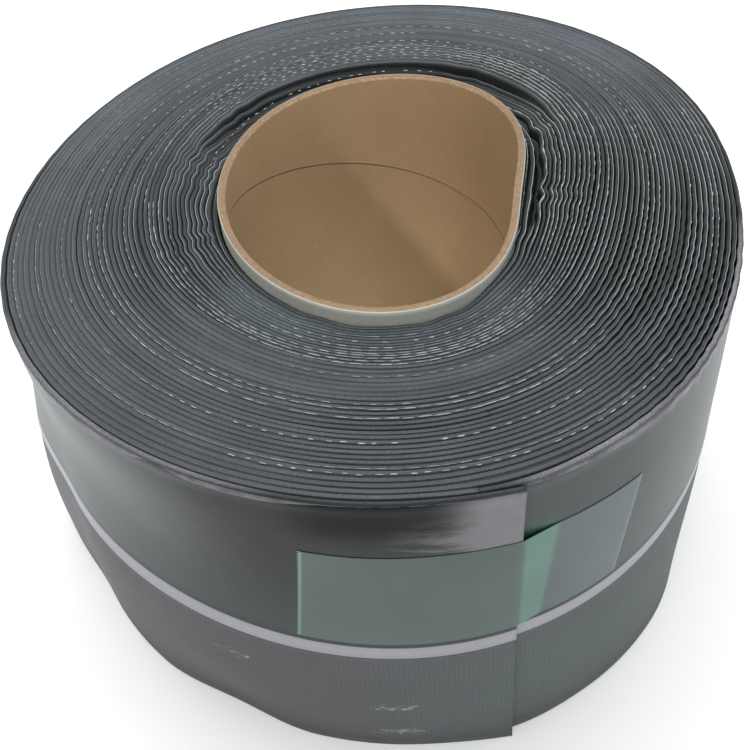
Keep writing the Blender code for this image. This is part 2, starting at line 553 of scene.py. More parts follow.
def edge_colours(turn, shade):
    """Colour of the points along one line of the edges, with painted shade and sheen."""
    angle = turn_angle(turn)
    share = turn / (TURNS + 1)
    tight = among(turn, TIGHT)
    loose = among(turn, SLACK)
    tone = 1 + 0.16 * noise_along(turn, 31, 0.5, 6.0)
    # Painted sheen: the outer turns at the back lighter, as grazing light makes them.
    back = plateau(angle, 40, 150, 40)
    tone = tone * (1 + 0.68 * back * ramp(share, 0.2, 0.9))
    tone = tone * (1 + plateau(angle, -140, -62, 30) * (0.14 + 0.2 * (1 - ramp(share, 0.2, 0.4))))
    # Painted shade: slack turns darker, as their faces lie deeper in shade.
    face = np.outer(tone * (1 - 0.45 * loose), FACE_COLOUR)
    worn = 0.74 + 0.4 * noise_along(turn, 37, 0.5, 8.0) + 0.4 * noise_along(turn, 38, 0.12, 0.6)
    worn = np.clip(worn, 0.1, 1.5)
    # Painted shade in the gaps between turns: nearly black where open, nearer the face's colour
    # where turns lie tight or close; the flanks into them a little darker.
    if shade == GAP:
        open_gap = np.clip(0.46 + 0.5 * noise_along(turn, 29, 0.2, 2.0), 0, 0.85)
        fill = open_gap * (1 - 0.4 * loose) + 0.8 * tight
        fill = np.clip(np.maximum(fill, 0.86 * among(turn, CLOSE)), 0, 1)
        colour = GAP_SHADE_COLOUR + fill[:, None] * (0.84 * face - GAP_SHADE_COLOUR)
    elif shade == FLANK:
        colour = face * (0.8 + 0.15 * tight)[:, None]
    elif shade == FACE:
        colour = face * (1 - 0.42 * loose)[:, None]
    else:
        front = plateau(angle, -125, -58, 25)
        outer_front = near(angle, -42, 40) * ramp(share, 0.4, 0.6)
        back_right = plateau(angle, 34, 120, 20) * ramp(share, 0.3, 0.42)
        strength = 0.06 + 0.95 * loose * (1 - 0.5 * outer_front) + 0.14 * (1 - front)
        strength = strength * (1 - 0.7 * back_right)
        strength = worn * (strength + 0.28 * np.exp(-share / 0.2)) * (1 - 0.7 * tight)
        colour = face + np.clip(strength, 0, 1)[:, None] * (LINE_COLOUR - face)
    frayed = zone(turn, share, *FRAYED)
    colour = colour + 0.6 * frayed[:, None] * (HAZE_COLOUR - colour)
    # Painted shade on the first turns where they have sunk beside the core.
    colour = colour * (1 - 0.72 * among(turn, SUNK))[:, None]
    return np.hstack([colour, np.ones((len(turn), 1))])


def winding_piece(name, first, last, material):
    """The turns from the first to the last as one closed solid.

    Columns of points run across each turn's edge on the upper and the lower end, and a
    turn's last column meets the first column of the turn outside it.
    """
    turn = first + np.arange(round((last - first) * STEPS) + 1) / STEPS
    inner = turn[: STEPS + 1]
    outer = turn[-STEPS - 1 :]
    points = []
    colours = []

    def column(turns, across, height, rise, shades):
        """Add points along the winding, and give their numbers."""
        start = sum(len(done) for done in points)
        x, y = wound_xy(turns, across, height)
        points.append(np.stack([x, y, rise], 1))
        colours.append(shades)
        return start + np.arange(len(turns))

    ends = []
    for level, edge in ((TAPE_WIDTH, EDGE), (0, BASE_EDGE)):
        rows = []
        for across, proud, shade in edge:
            rise = edge_rise(turn, proud, level)
            rows.append(column(turn, across, level, rise, edge_colours(turn, shade)))
        rise = edge_rise(outer, edge[0][1], level)
        last_row = column(outer + 1, 0.0, level, rise, edge_colours(outer, GAP))
        rows.append(np.concatenate([rows[0][STEPS:], last_row[1:]]))
        ends.append(rows)
    top, base = ends
    inner_wall = [top[0][: STEPS + 1]]
    outer_wall = [top[-1][-STEPS - 1 :]]
    for height in SIDE_LEVELS:
        for wall, side in ((inner_wall, inner), (outer_wall, outer + 1)):
            rise = np.full_like(side, height)
            wall.append(column(side, 0.0, height, rise, edge_colours(side, GAP)))
    inner_wall.append(base[0][: STEPS + 1])
    outer_wall.append(base[-1][-STEPS - 1 :])
    faces = []
    for rows, order in ((top, 1), (base, -1), (inner_wall, -1), (outer_wall, 1)):
        for row, after in zip(rows[:-1], rows[1:]):
            faces += quads(row, after, order)
    start_cap = [row[0] for row in (*top, *base[::-1], *inner_wall[-2:0:-1])]
    end_cap = [row[-1] for row in (*top, *outer_wall[1:-1], *base[::-1])]
    faces += [tuple(start_cap[::-1]), tuple(end_cap)]
    return new_object(name, points, colours, faces, [material])


# The outer turn's face from its base to its top edge: height, and how far the film
# stands proud of the cloth there.
LINE_BASE = 0.0668
LINE_TOP = 0.0732
HEM_BASE = 0.1462
FILM = 0.00022
WALL_ROWS = (
    [(0.0004, -0.0003), (0.0012, 0.0)]
    + [(0.0012 + (LINE_BASE - 0.0016) * i / 20, 0.0) for i in range(1, 21)]
    + [(LINE_BASE, 0.00034), (LINE_TOP, 0.00030), (LINE_TOP + 0.0003, FILM)]
    + [(LINE_TOP + 0.0003 + (HEM_BASE - LINE_TOP - 0.0006) * i / 24, FILM) for i in range(1, 25)]
    + [(HEM_BASE, 0.00030), (0.1478, 0.00030), (0.1493, 0.00024)]
)

# The hem's width: its least, what it gains in which sectors, how ragged it is, and the
# width that the colour attribute's alpha of one stands for.
HEM_LEAST = 0.0009
HEM_WIDE = ((0.0030, -58, -30, 22), (0.0022, -150, -108, 10), (0.0010, -200, -150, 20))
HEM_WAVE = 0.0016
HEM_SCALE = 0.01

# Colours of the wall. Those in pairs lie between the two.
FILM_COLOUR = np.array((0.050, 0.060, 0.060))
# Painted highlights on the film: strength, and sector with its soft ends.
FILM_HIGHLIGHTS = ((1.0, -176, -152, 26), (0.9, -26, 10, 30), (0.3, -74, -50, 8))
CLOTH_COLOUR = np.array((0.068, 0.072, 0.076))
CLOTH_GREEN = (0.04, 0.30, 0.18)
# The strip's painted green cast on the film beside its bridge: its colour and sector.
STRIP_CAST_COLOUR = (0.004, 0.05, 0.022)
STRIP_CAST_SECTOR = (-75.2, -71.5, 2)
GREENISH = (0.040, 0.072, 0.063)
SCUFF_COLOUR = (0.40, 0.40, 0.40)
SHADOW_COLOUR = (0.02, 0.022, 0.024)
BAND_COLOUR = (0.006, 0.006, 0.006)
PATCH_DARK_COLOUR = (0.026, 0.026, 0.026)
SHEEN_COLOUR = (0.11, 0.115, 0.12)
LIGHT_LINE = ((0.27, 0.265, 0.29), (0.36, 0.355, 0.385))
TORN_HEM = ((0.10, 0.10, 0.108), (0.20, 0.19, 0.21))
# Painted reflection on the free end's corner patch.
PATCH_REFLECTION = ((0.165, 0.162, 0.172), (0.225, 0.22, 0.235))

# The weave's pitch along the tape and up it, and the scuffs: from and to along the tape,
# from and to above the floor, and a seed.
WEAVE = (0.0017, 0.0015)
SCUFFS = (
    (0.030, 0.054, 0.028, 0.036, 0.0),
    (0.030, 0.054, 0.008, 0.016, 3.0),
    (0.090, 0.112, 0.047, 0.054, 7.0),
)


def patches(angle, sectors):
    """The sum of several sectors of the wall, each with its strength."""
    return sum(strength * plateau(angle, *sector) for strength, *sector in sectors)


def hem_width(angle):
    """Width of the light hem along the top edge, in metres."""
    return (HEM_LEAST + patches(angle, HEM_WIDE)) * (1 - 0.8 * near(angle, -121, 5))


def wall_paint(turn, height):
    """Base colour of the outer face: what film and cloth show before fine detail, with painted
    light and shade.
    """
    angle = turn_angle(turn)
    up = np.full_like(turn, height)
    if height > LINE_TOP:
        # Painted dark reflection on the film round -110, and a darker band beside the free end's
        # corner.
        darkening = near(angle, -110, 22) * fade(up - 0.122, 0.056)
        darkening = np.maximum(darkening, 0.9 * plateau(angle, -114, -84, 9) * ramp(up, 0.116, 0.134))
        # Painted highlights: the film lighter at the far left, on the right and beside the free
        # end.
        bright = patches(angle, FILM_HIGHLIGHTS) + 0.35 * near(angle, -132, 24)
        colour = np.outer((1 - 0.8 * np.clip(darkening, 0, 1)) * (1 + 0.9 * bright), FILM_COLOUR)
        # Painted green cast: the green-tinted shade and reflection that the strip throws on the
        # film.
        strip_green_cast = plateau(angle, *STRIP_CAST_SECTOR) * fade(up - 0.1245, 0.006)
        colour = colour + np.outer(strip_green_cast, STRIP_CAST_COLOUR)
    else:
        green = plateau(angle, -70, -24, 30) * fade(up - 0.036, 0.05)
        colour = CLOTH_COLOUR * (1 + np.outer(green, CLOTH_GREEN))
        # Painted light: the cloth lighter at the far left.
        colour = colour * (1 + 0.7 * plateau(angle, -186, -158, 22))[:, None]
    # Painted shade: the turn darkened where it runs under the free end.
    under = ramp(TURNS - 0.9995 - turn, 0.0, 0.002)
    colour = colour * (1 - 0.9 * under)[:, None]
    width = hem_width(angle) * (1 - (turn < TURNS - 1))
    return np.hstack([colour, width[:, None] / HEM_SCALE])


def hemmed(turn, across, colours):
    """Colours of the outer turn's edge: dark, but pale where the hem folds over it."""
    angle = turn_angle(turn)
    folded = plateau(angle, -72, -16, 6) * (turn < TURNS - 0.5)
    folded = np.maximum(folded, 0.75 * plateau(angle, -152, -112, 8))
    shaded = colours * (0.5, 0.5, 0.5, 1.0)
    if across < 0.2:
        return shaded * (0.4, 0.4, 0.4, 1.0)
    pale = HEM_COLOUR * (1 + 0.25 * noise_along(turn, 61, 2.0, 20.0))[:, None]
    return shaded + folded[:, None] * (pale - shaded)


def outer_turn(wall, edges):
    """The last turn as one strip, from below its own free end round to that end."""
    first = GROUPS[-1]
    count = round((TURNS - first) * STEPS)
    turn = first + np.arange(count + 1) * (TURNS - first) / count
    length = arc_lengths(turn)
    columns = []
    maps = []
    colours = []
    kinds = []

    def column(across, rise, out, colour, kind):
        """Add a line of points along the turn, and the kind of the faces beyond it."""
        level = np.full_like(turn, min(max(float(np.mean(rise)), 0), TAPE_WIDTH))
        x, y = wound_xy(turn, across, level)
        radians = np.radians(turn_angle(turn))
        rise = rise * np.ones_like(turn)
        columns.append(np.stack([x + out * np.cos(radians), y + out * np.sin(radians), rise], 1))
        maps.append(np.stack([length, rise], 1))
        colours.append(colour)
        kinds.append(kind)

    for height, out in WALL_ROWS:
        column(1.0, height, out, wall_paint(turn, height), 0)
    kinds[-1] = 1
    for across, proud, shade in EDGE[:0:-1]:
        rise = edge_rise(turn, proud, TAPE_WIDTH)
        column(across, rise, 0.0, hemmed(turn, across, edge_colours(turn, shade)), 1)
    for height in SIDE_LEVELS:
        column(0.04, height, 0.0, edge_colours(turn, GAP), 1)
    for across, proud, shade in BASE_EDGE[1:]:
        column(across, edge_rise(turn, proud, 0), 0.0, edge_colours(turn, shade), 1)
    rows = list(np.arange(len(columns) * len(turn)).reshape(len(columns), -1))
    faces = []
    face_kinds = []
    for row, after, kind in zip(rows, rows[1:] + rows[:1], kinds):
        faces += zip(row[:-1], row[1:], after[1:], after[:-1])
        face_kinds += [kind] * count
    faces += [tuple(row[0] for row in rows), tuple(row[-1] for row in rows[::-1])]
    face_kinds += [1, 1]
    return new_object("outer_turn", columns, colours, faces, [wall, edges], maps, face_kinds)


def arc_lengths(turn):
    """Length along the tape, back from its free end."""
    x, y = wound_xy(turn, 1.0, TAPE_WIDTH / 2)
    steps = np.hypot(np.diff(x), np.diff(y))
    return np.concatenate([[0], np.cumsum(steps)]) * -1 + steps.sum()


def wall_material():
    """The outer face: matt woven cloth below, a light line, and glossy film above."""
    graph = Graph("outer_face")
    along, up = graph.uv()
    place = graph.position()
    paint, hem_share = graph.attribute("shade")
    cloud = graph.noise(place, 16.0, 4.0)
    fine = graph.noise(place, 900.0, 3.0, 0.6)
    mottle = graph.noise(place, 160.0, 4.0, 0.6)

    film = graph.step(up, LINE_TOP - 0.0001, LINE_TOP + 0.0001)
    cloth = graph.without(film)
    line = graph.between(up, LINE_BASE, LINE_TOP, 0.00025)
    hem_base = graph.scaled(hem_share, -HEM_SCALE, TAPE_WIDTH - HEM_WAVE / 2)
    hem = graph.math("GREATER_THAN", up, graph.scaled(mottle, HEM_WAVE, hem_base))
    hem = graph.both(film, hem)

    waves_along = graph.math("SINE", graph.both(along, 2 * math.pi / WEAVE[0]))
    waves_up = graph.math("SINE", graph.both(up, 2 * math.pi / WEAVE[1]))
    weave = graph.scaled(graph.math("ADD", waves_along, waves_up), 0.25, 0.5)
    weave = graph.both(weave, graph.step(up, 0.004, 0.012), cloth)

    woven = graph.scaled(weave, 0.34, 0.86)
    shades = graph.both(graph.scaled(fine, 0.34, 0.83), graph.scaled(cloud, 0.50, 0.75), woven)
    # The paint attribute brings painted highlights, a painted dark reflection, a painted green
    # cast and painted shade.
    colour = graph.gain(paint, shades)
    green = graph.both(film, graph.step(graph.noise(place, 9.0, 2.0), 0.45, 0.7), 0.25)
    colour = graph.mix(green, colour, GREENISH)

    scuffs = 0.0
    for place_and_seed in SCUFFS:
        scuffs = graph.math("MAXIMUM", scuffs, scuff(graph, *place_and_seed))
    colour = graph.mix(graph.both(scuffs, 0.75), colour, SCUFF_COLOUR)

    shadow = graph.between(up, LINE_BASE - 0.0012, LINE_BASE - 0.0002, 0.0003)
    colour = graph.mix(graph.both(shadow, 0.5), colour, SHADOW_COLOUR)
    # Painted reflection and sheen at the free end's upper corner.
    colour = corner_patch(graph, colour, along, up, mottle)
    colour = graph.mix(line, colour, graph.mix(fine, *LIGHT_LINE))
    colour = graph.mix(hem, colour, graph.mix(graph.step(mottle, 0.35, 0.65), *TORN_HEM))
    rough = graph.scaled(graph.math("MAXIMUM", film, line), -0.27, 0.62)
    band = graph.both(graph.between(along, 0.022, 0.068, 0.011), graph.step(up, 0.129, 0.139))
    band = graph.both(band, graph.without(hem), 0.66)
    colour = graph.mix(band, colour, BAND_COLOUR)
    gloss = graph.both(graph.scaled(film, -0.28, 0.5), graph.scaled(band, -0.8, 1.0))
    graph.set(Base_Color=colour, Roughness=rough, Specular_IOR_Level=gloss)
    graph.bump(graph.scaled(cloud, 1.5, graph.both(weave, 0.12)), 0.001, 0.5)
    return graph.material


def scuff(graph, start, end, low, high, seed):
    """A patch of pale rubbed marks on the cloth, between two lengths and two heights."""
    along, up = graph.uv()
    beside = graph.between(along, start, end, 0.008)
    inside = graph.both(beside, graph.between(up, low, high, 0.005))
    stretched = graph.vector(graph.both(along, 260.0), graph.both(up, 620.0), seed)
    marks = graph.noise(stretched, 1.0, 4.0, 0.75)
    bare = graph.scaled(inside, -0.40, 0.83)
    return graph.step(marks, bare, graph.math("ADD", bare, 0.16))


def corner_patch(graph, colour, along, up, mottle):
    """The free end's upper corner: a pale patch of painted reflection with darker marks, and a
    painted sheen.
    """
    inside = graph.math("GREATER_THAN", up, graph.scaled(along, 0.16, 0.1215))
    inside = graph.both(inside, graph.step(along, 0.046, 0.012))
    streaks = graph.vector(graph.both(along, 70.0), graph.both(up, 330.0), 2.0)
    dark = graph.step(graph.noise(streaks, 1.0, 5.0, 0.65), 0.42, 0.60)
    upper = graph.step(up, 0.1365, 0.1435)
    off_corner = graph.step(along, 0.010, 0.030)
    darkening = graph.both(graph.math("MAXIMUM", dark, upper), off_corner)
    # Painted reflection, with darker streaks and a darker band in it.
    patched = graph.mix(darkening, graph.mix(mottle, *PATCH_REFLECTION), PATCH_DARK_COLOUR)
    # Painted sheen in a wedge beside the patch.
    wedge = graph.math("GREATER_THAN", up, graph.scaled(along, -0.09, 0.1245))
    wedge = graph.both(wedge, graph.step(along, 0.040, 0.004), 0.5)
    return graph.mix(inside, graph.mix(wedge, colour, SHEEN_COLOUR), patched)


# Yarns that show as stitches along the edges: the turn at the free end's angle, the
# angles between which they show, the share of each stitch that is yarn, how bright they
# are, and how wide.
STITCH = 0.0049
YARN = 0.00042
SLACK_YARN = (4.0, 2.25, 72, 168, 0.36, 0.85, 1.0)
YARNS = (
    (40, -176, -150, 0.40, 0.75, 0.9),
    (36, -180, -42, 0.97, 0.66, 0.6),
    (37, -28, 20, 0.60, 0.75, 0.7),
    (36, -22, 18, 0.45, 0.90, 0.8),
    (36, 56, 150, 0.50, 0.45, 0.8),
    (37, -112, -45, 0.45, 1.00, 0.9),
    (31, -180, -126, 0.97, 0.60, 0.6),
    (31, -126, -60, 0.45, 1.00, 1.0),
    (32, -14, 17, 0.42, 1.00, 0.8),
    (31, 34, 180, 0.60, 0.40, 0.8),
    (26, -180, -50, 0.96, 0.95, 0.7),
    (26, -10, 180, 0.55, 0.70, 0.9),
    (25, -60, 22, 0.97, 0.60, 0.6),
    (24, -180, -60, 0.97, 0.85, 0.7),
    (24, -20, 55, 0.50, 0.80, 0.9),
    (22, 80, 180, 0.50, 0.80, 1.0),
    (23, -180, -126, 0.97, 0.60, 0.7),
    (23, -126, 22, 0.60, 0.75, 0.8),
    (19, -180, -150, 0.50, 0.70, 0.9),
    (17, -112, -34, 0.55, 0.55, 0.8),
    (16, -34, 30, 0.62, 0.90, 0.8),
    (17, 45, 180, 0.50, 0.75, 1.0),
    (14, -180, -30, 0.97, 0.95, 0.8),
    (14, -30, 180, 0.75, 0.75, 0.9),
    (13, -180, 24, 0.90, 0.90, 0.8),
    (12, -180, -50, 0.96, 0.85, 0.8),
    (12, -50, 40, 0.65, 0.65, 0.8),
    (11, -150, -5, 0.80, 0.95, 0.8),
    (10, -180, -150, 0.60, 0.70, 0.9),
    (10, -100, 40, 0.92, 0.75, 0.8),
    (9, -100, 46, 0.96, 0.65, 0.7),
    (8, -118, -30, 0.70, 0.80, 0.8),
    (7, -60, 30, 0.45, 1.10, 0.9),
    (6, -112, -62, 0.35, 0.95, 1.0),
    (6, -36, 38, 0.95, 0.85, 0.8),
    (5, -36, 24, 0.90, 0.70, 0.7),
    (4, -150, -40, 0.85, 0.55, 0.8),
    (3, -34, 60, 0.97, 0.95, 0.9),
    (0, -66, 24, 0.70, 0.60, 0.8),
    (9, 50, 135, 0.45, 0.60, 1.5),
    (10, 48, 140, 0.45, 0.65, 1.5),
    (11, 46, 140, 0.45, 0.70, 1.5),
    (12, 44, 140, 0.45, 0.70, 1.5),
    (13, 44, 140, 0.45, 0.65, 1.5),
    (15, 50, 135, 0.45, 0.55, 1.5),
)


def yarn_material():
    """Pale, fibrous yarn."""
    graph = Graph("yarn")
    shade, _ = graph.attribute("shade")
    grain = graph.noise(graph.position(), 1500.0, 2.0, 0.6)
    colour = graph.gain(shade, graph.scaled(grain, 0.9, 0.5))
    graph.set(Base_Color=colour, Roughness=0.7, Specular_IOR_Level=0.3)
    return graph.material


def stitch_centres(number, drift, start, end):
    """Turn counts at the middles of the stitches of one yarn, and their turn length."""
    first = number + (start - FREE_END) / 360
    x, y = wound_xy(np.array([first, first + 1 / STEPS]), 0.8, TAPE_WIDTH)
    pitch = STITCH / (math.hypot(x[1] - x[0], y[1] - y[0]) * STEPS)
    along = np.arange(0, (end - start) / 360, pitch)
    return first + along, drift * along * 360 / (end - start), pitch


def yarns(material):
    """All the stitches as small closed ridges on the edges."""
    rng = np.random.default_rng(17)
    points = []
    faces = []
    colours = []
    stations = np.array((-1.0, -0.45, 0.45, 1.0))
    plump = np.array((0.25, 1.0, 1.0, 0.25))
    tight = [(number, number, *rest) for number, *rest in YARNS]
    for number, finally_at, start, end, duty, bright, width in [SLACK_YARN, *tight]:
        centres, asides, pitch = stitch_centres(number, finally_at - number, start, end)
        for centre, drifted in zip(centres, asides):
            if rng.uniform() < 0.05:
                continue
            half = pitch * duty / 2 * rng.uniform(0.75, 1.15)
            turn = centre + pitch * 0.07 * rng.normal() + stations * half
            aside = 0.80 + 0.05 * rng.normal() + drifted
            wide = YARN * width * rng.uniform(0.8, 1.15) / TAPE_THICKNESS / 2 * plump
            rise = edge_rise(turn, 0.0001, TAPE_WIDTH)
            if number != finally_at:
                rise = rise + SUNK_DEPTH * among(turn, SUNK)
            base = sum(len(ring) for ring in points)
            ring_points = []
            for offset, lift in ((-1, -0.0001), (0, 0.00026), (1, -0.0001)):
                x, y = wound_xy(turn, aside + offset * wide, TAPE_WIDTH)
                ring_points.append(np.stack([x, y, rise + lift * np.where(lift > 0, plump, 1)], 1))
            points.append(np.stack(ring_points, 1).reshape(-1, 3))
            for station in range(3):
                for side in range(3):
                    a = base + station * 3 + side
                    b = base + station * 3 + (side + 1) % 3
                    faces.append((b, a, a + 3, b + 3))
            faces.append((base, base + 1, base + 2))
            faces.append((base + 11, base + 10, base + 9))
            light = 0.72 * bright * rng.uniform(0.55, 1.1)
            colours.append(np.tile((0.92 * light, 1.02 * light, 1.0 * light, 1.0), (12, 1)))
    return new_object("yarns", points, colours, faces, [material])


# The core's seam: a helix down the bore, its depth at one angle and its fall for a
# degree, and its section: how far outside the bore and how high each corner is.
SEAM_ANGLE = 173
SEAM_DEPTH = 0.0142
SEAM_FALL = 0.000345
SEAM_SECTION = (
    (0.00004, -0.00028), (-0.00014, -0.00022), (-0.00010, 0.0002), (0.00004, 0.00028)
)

# Colours of the core's board, and the depths of the rows of points just below its rim.
KRAFT = np.array((0.25, 0.174, 0.101))
SEAM_COLOUR = KRAFT * 0.58
DEEP_KRAFT = np.array((0.35, 0.258, 0.151))
RIM = np.array((0.150, 0.104, 0.066))
PLY = np.array((0.225, 0.236, 0.220))
SPECK_COLOUR = (0.10, 0.06, 0.03)
RIM_DEPTHS = np.array((0.0030, 0.0018, 0.0010, 0.0006))


def card_material():
    """Brown core board: kraft paper inside, a rough cut rim and a pale outer ply."""
    graph = Graph("core_board")
    place = graph.position()
    shade, _ = graph.attribute("shade")
    cloud = graph.noise(place, 22.0, 4.0)
    fibre = graph.noise(place, 700.0, 4.0, 0.7)
    speck = graph.step(graph.noise(place, 520.0, 0.0, 0.0), 0.86, 0.88)
    tone = graph.scaled(fibre, 0.35, graph.scaled(cloud, 0.35, 0.65))
    colour = graph.gain(shade, tone)
    colour = graph.mix(graph.both(speck, 0.6), colour, SPECK_COLOUR)
    graph.set(Base_Color=colour, Roughness=0.8, Specular_IOR_Level=0.3)
    graph.bump(fibre, 0.00012, 0.5)
    return graph.material


def core_point(angle, out):
    """X and Y of a point of the core, a distance outside its bore."""
    radius = lobed_radius(CORE_BORE_RADIUS + out, CORE_LOBES, angle)
    x = AXIS[0] + CORE_CENTRE[0] + radius * np.cos(np.radians(angle))
    y = AXIS[1] + CORE_CENTRE[1] + radius * np.sin(np.radians(angle))
    return x, y


def core_tube(material):
    """The core: its section run round the oval, with a rough cut rim."""
    steps = 2 * STEPS
    angle = np.linspace(0, 360, steps, endpoint=False)
    rng = np.random.default_rng(5)
    kraft_rows = []
    for z in (*np.linspace(0.0006, CORE_LENGTH - 0.0045, 14), *(CORE_LENGTH - RIM_DEPTHS)):
        depth = (CORE_LENGTH - z) / CORE_LENGTH
        kraft_rows.append((0.0, z, 0, KRAFT + ramp(depth, 0.05, 0.8) * (DEEP_KRAFT - KRAFT)))
    rim_rows = [
        (0.00015, CORE_LENGTH - 0.0003, 1, RIM),
        (0.0006, CORE_LENGTH - 0.00005, 1, RIM),
        (0.0011, CORE_LENGTH - 0.00015, 1, RIM * 0.85),
        (0.0016, CORE_LENGTH, 1, RIM),
        (0.0022, CORE_LENGTH - 0.00010, 1, RIM * 0.9),
        (0.0026, CORE_LENGTH - 0.0002, 1, RIM),
        (0.0027, CORE_LENGTH - 0.0001, 0, PLY),
        (CORE_WALL, CORE_LENGTH - 0.0005, 0, PLY),
    ]
    ply_rows = [(CORE_WALL, z, 0, PLY) for z in (CORE_LENGTH - 0.002, TAPE_WIDTH - 0.001)]
    # Painted shade: the ply darker where it runs down beside the turns.
    ply_rows += [(CORE_WALL, z, 0, PLY * 0.7) for z in (0.145, 0.1, 0.05, 0.0006)]
    base_rows = [(CORE_WALL - 0.0006, 0.0001, 0, RIM), (0.0006, 0.0001, 0, RIM)]
    columns = []
    colours = []
    for out, height, ragged, colour in kraft_rows + rim_rows + ply_rows + base_rows:
        rough = np.convolve(rng.normal(0, 1, steps + 4), np.ones(3) / 3, "same")[2:-2]
        x, y = core_point(angle, out + 0.00012 * ragged * rough)
        rise = height - 0.00016 * ragged * np.abs(rough) * np.ones(steps)
        columns.append(np.stack([x, y, rise], 1))
        tone = 1 + 0.16 * ragged * rough
        colours.append(np.hstack([np.outer(tone, colour), np.ones((steps, 1))]))
    rows = [np.append(np.arange(steps), 0) + steps * i for i in range(len(columns))]
    faces = []
    for row, after in zip(rows, rows[1:] + rows[:1]):
        faces += quads(row, after)
    return new_object("core_tube", columns, colours, faces, [material])


def core_seam(material):
    """The edge of the bore's inner ply: a thin ridge that winds down the bore."""
    start = SEAM_ANGLE + SEAM_DEPTH / SEAM_FALL
    end = start - (CORE_LENGTH - 0.003) / SEAM_FALL
    angle = np.arange(start - 3, end, -0.75)
    middle = CORE_LENGTH - SEAM_DEPTH - (SEAM_ANGLE - angle) * SEAM_FALL
    columns = []
    for out, rise in SEAM_SECTION:
        x, y = core_point(angle, out)
        columns.append(np.stack([x, y, middle + rise], 1))
    count = len(SEAM_SECTION) * len(angle)
    rings = np.arange(count).reshape(len(SEAM_SECTION), -1)[[0, 1, 2, 3, 0]].T
    faces = [tuple(rings[0][:4]), tuple(rings[-1][3::-1])]
    for ring, after in zip(rings[:-1], rings[1:]):
        faces += quads(ring, after)
    colours = np.tile((*SEAM_COLOUR, 1.0), (count, 1))
    return new_object("core_seam", columns, [colours], faces, [material])


def strip_material():
    """Green film, as it looks with the dark tape below it."""
    graph = Graph("green_film")
    shade, _ = graph.attribute("shade")
    cloud = graph.noise(graph.position(), 30.0, 3.0, 0.5)
    colour = graph.gain(shade, graph.scaled(cloud, 0.5, 0.75))
    graph.set(Base_Color=colour, Roughness=0.34, Specular_IOR_Level=0.4)
    graph.bump(cloud, 0.0005, 0.3)
    return graph.material


# The strip: how far its two faces stand off the film, its rows and columns of points
# (on the free end, over the step, on the turn below) and the teeth of its cut ends.
STRIP_FACES = (0.0001, 0.0002)
STRIP_ROWS = 141
HELD_COLUMNS = 34
AIR_COLUMNS = 8
PAST_COLUMNS = 40
TOOTH_PITCH = 0.0014
TOOTH = 0.0009
HELD_COLOUR = np.array((0.062, 0.092, 0.081, 1.0))
BRIDGE_COLOUR = np.array((0.087, 0.200, 0.157, 1.0))
BELOW_COLOUR = np.array((0.082, 0.112, 0.114, 1.0))
BEAD_COLOUR = np.array((0.17, 0.28, 0.24, 1.0))


def slanted(angles, up):
    """The angle of a slanted line of the strip, a share of the way up."""
    return angles[0] + up * (angles[1] - angles[0])


def strip_colours(angle, up):
    """Colours of the strip: paler over the bridge, greyer on the turn below with a painted
    reflection.
    """
    held = HELD_COLOUR * (1 + 0.22 * (1 - up))
    held[3] = 1.0
    landing = slanted(STRIP_LANDING, up)
    bridged = ramp(angle, FREE_END - 0.1, FREE_END + 0.4)
    bridged = bridged * (1 - ramp(angle, landing - 0.4, landing + 0.1))
    past = ramp(angle, landing - 0.3, landing + 0.3)
    # Painted reflection: greyer where the strip lies on the turn below.
    colour = held + past[:, None] * (BELOW_COLOUR - held)
    colour = colour + bridged[:, None] * (BRIDGE_COLOUR - colour)
    ends = np.zeros(len(angle))
    ends[:2] = 1.0
    ends[-2:] = 0.5
    return colour + ends[:, None] * (BEAD_COLOUR - colour)


def strip_film(material):
    """The green strip over the free end, with serrated ends."""
    points = []
    colours = []
    for offset in STRIP_FACES:
        for z in np.linspace(STRIP_BASE, STRIP_TOP, STRIP_ROWS):
            up = (z - STRIP_BASE) / (STRIP_TOP - STRIP_BASE)
            tooth = math.degrees(abs((z / TOOTH_PITCH) % 1 - 0.5) * 2 * TOOTH / ROLL_RADIUS)
            left = slanted(STRIP_LEFT, up) + tooth
            right = slanted(STRIP_RIGHT, up) + tooth
            landing = slanted(STRIP_LANDING, up)
            held = np.linspace(left + 0.6, FREE_END, HELD_COLUMNS)
            air = np.linspace(FREE_END, landing, AIR_COLUMNS)[1:-1]
            past = np.linspace(landing, right - 0.6, PAST_COLUMNS)
            ends = [left, left + 0.25], [right - 0.25, right]
            angle = np.concatenate([ends[0], held, air, past, ends[1]])
            turn = TURNS + (angle - FREE_END) / 360
            on_top = angle < FREE_END + 0.01
            x, y = wound_xy(np.where(on_top, turn, turn - 1), 1.0, z)
            bridge = (angle > FREE_END + 0.01) & (angle < landing - 0.01)
            share = (angle - FREE_END) / (landing - FREE_END)
            here = np.flatnonzero(on_top)[-1]
            there = np.flatnonzero(angle > landing - 0.01)[0]
            x = np.where(bridge, x[here] + share * (x[there] - x[here]), x)
            y = np.where(bridge, y[here] + share * (y[there] - y[here]), y)
            radians = np.radians(angle)
            out = FILM + offset
            ring = [x + out * np.cos(radians), y + out * np.sin(radians), np.full(len(angle), z)]
            points.append(np.stack(ring, 1))
            colours.append(strip_colours(angle, up))
    count = len(points[0])
    back, front = np.arange(2 * STRIP_ROWS * count).reshape(2, STRIP_ROWS, count)
    faces = quads(back[:, 0], front[:, 0]) + quads(front[:, -1], back[:, -1])
    faces += quads(front[0], back[0]) + quads(back[-1], front[-1])
    for column in range(count - 1):
        faces += quads(front[:, column], front[:, column + 1])
        faces += quads(back[:, column], back[:, column + 1], -1)
    return new_object("green_strip", points, colours, faces, [material])


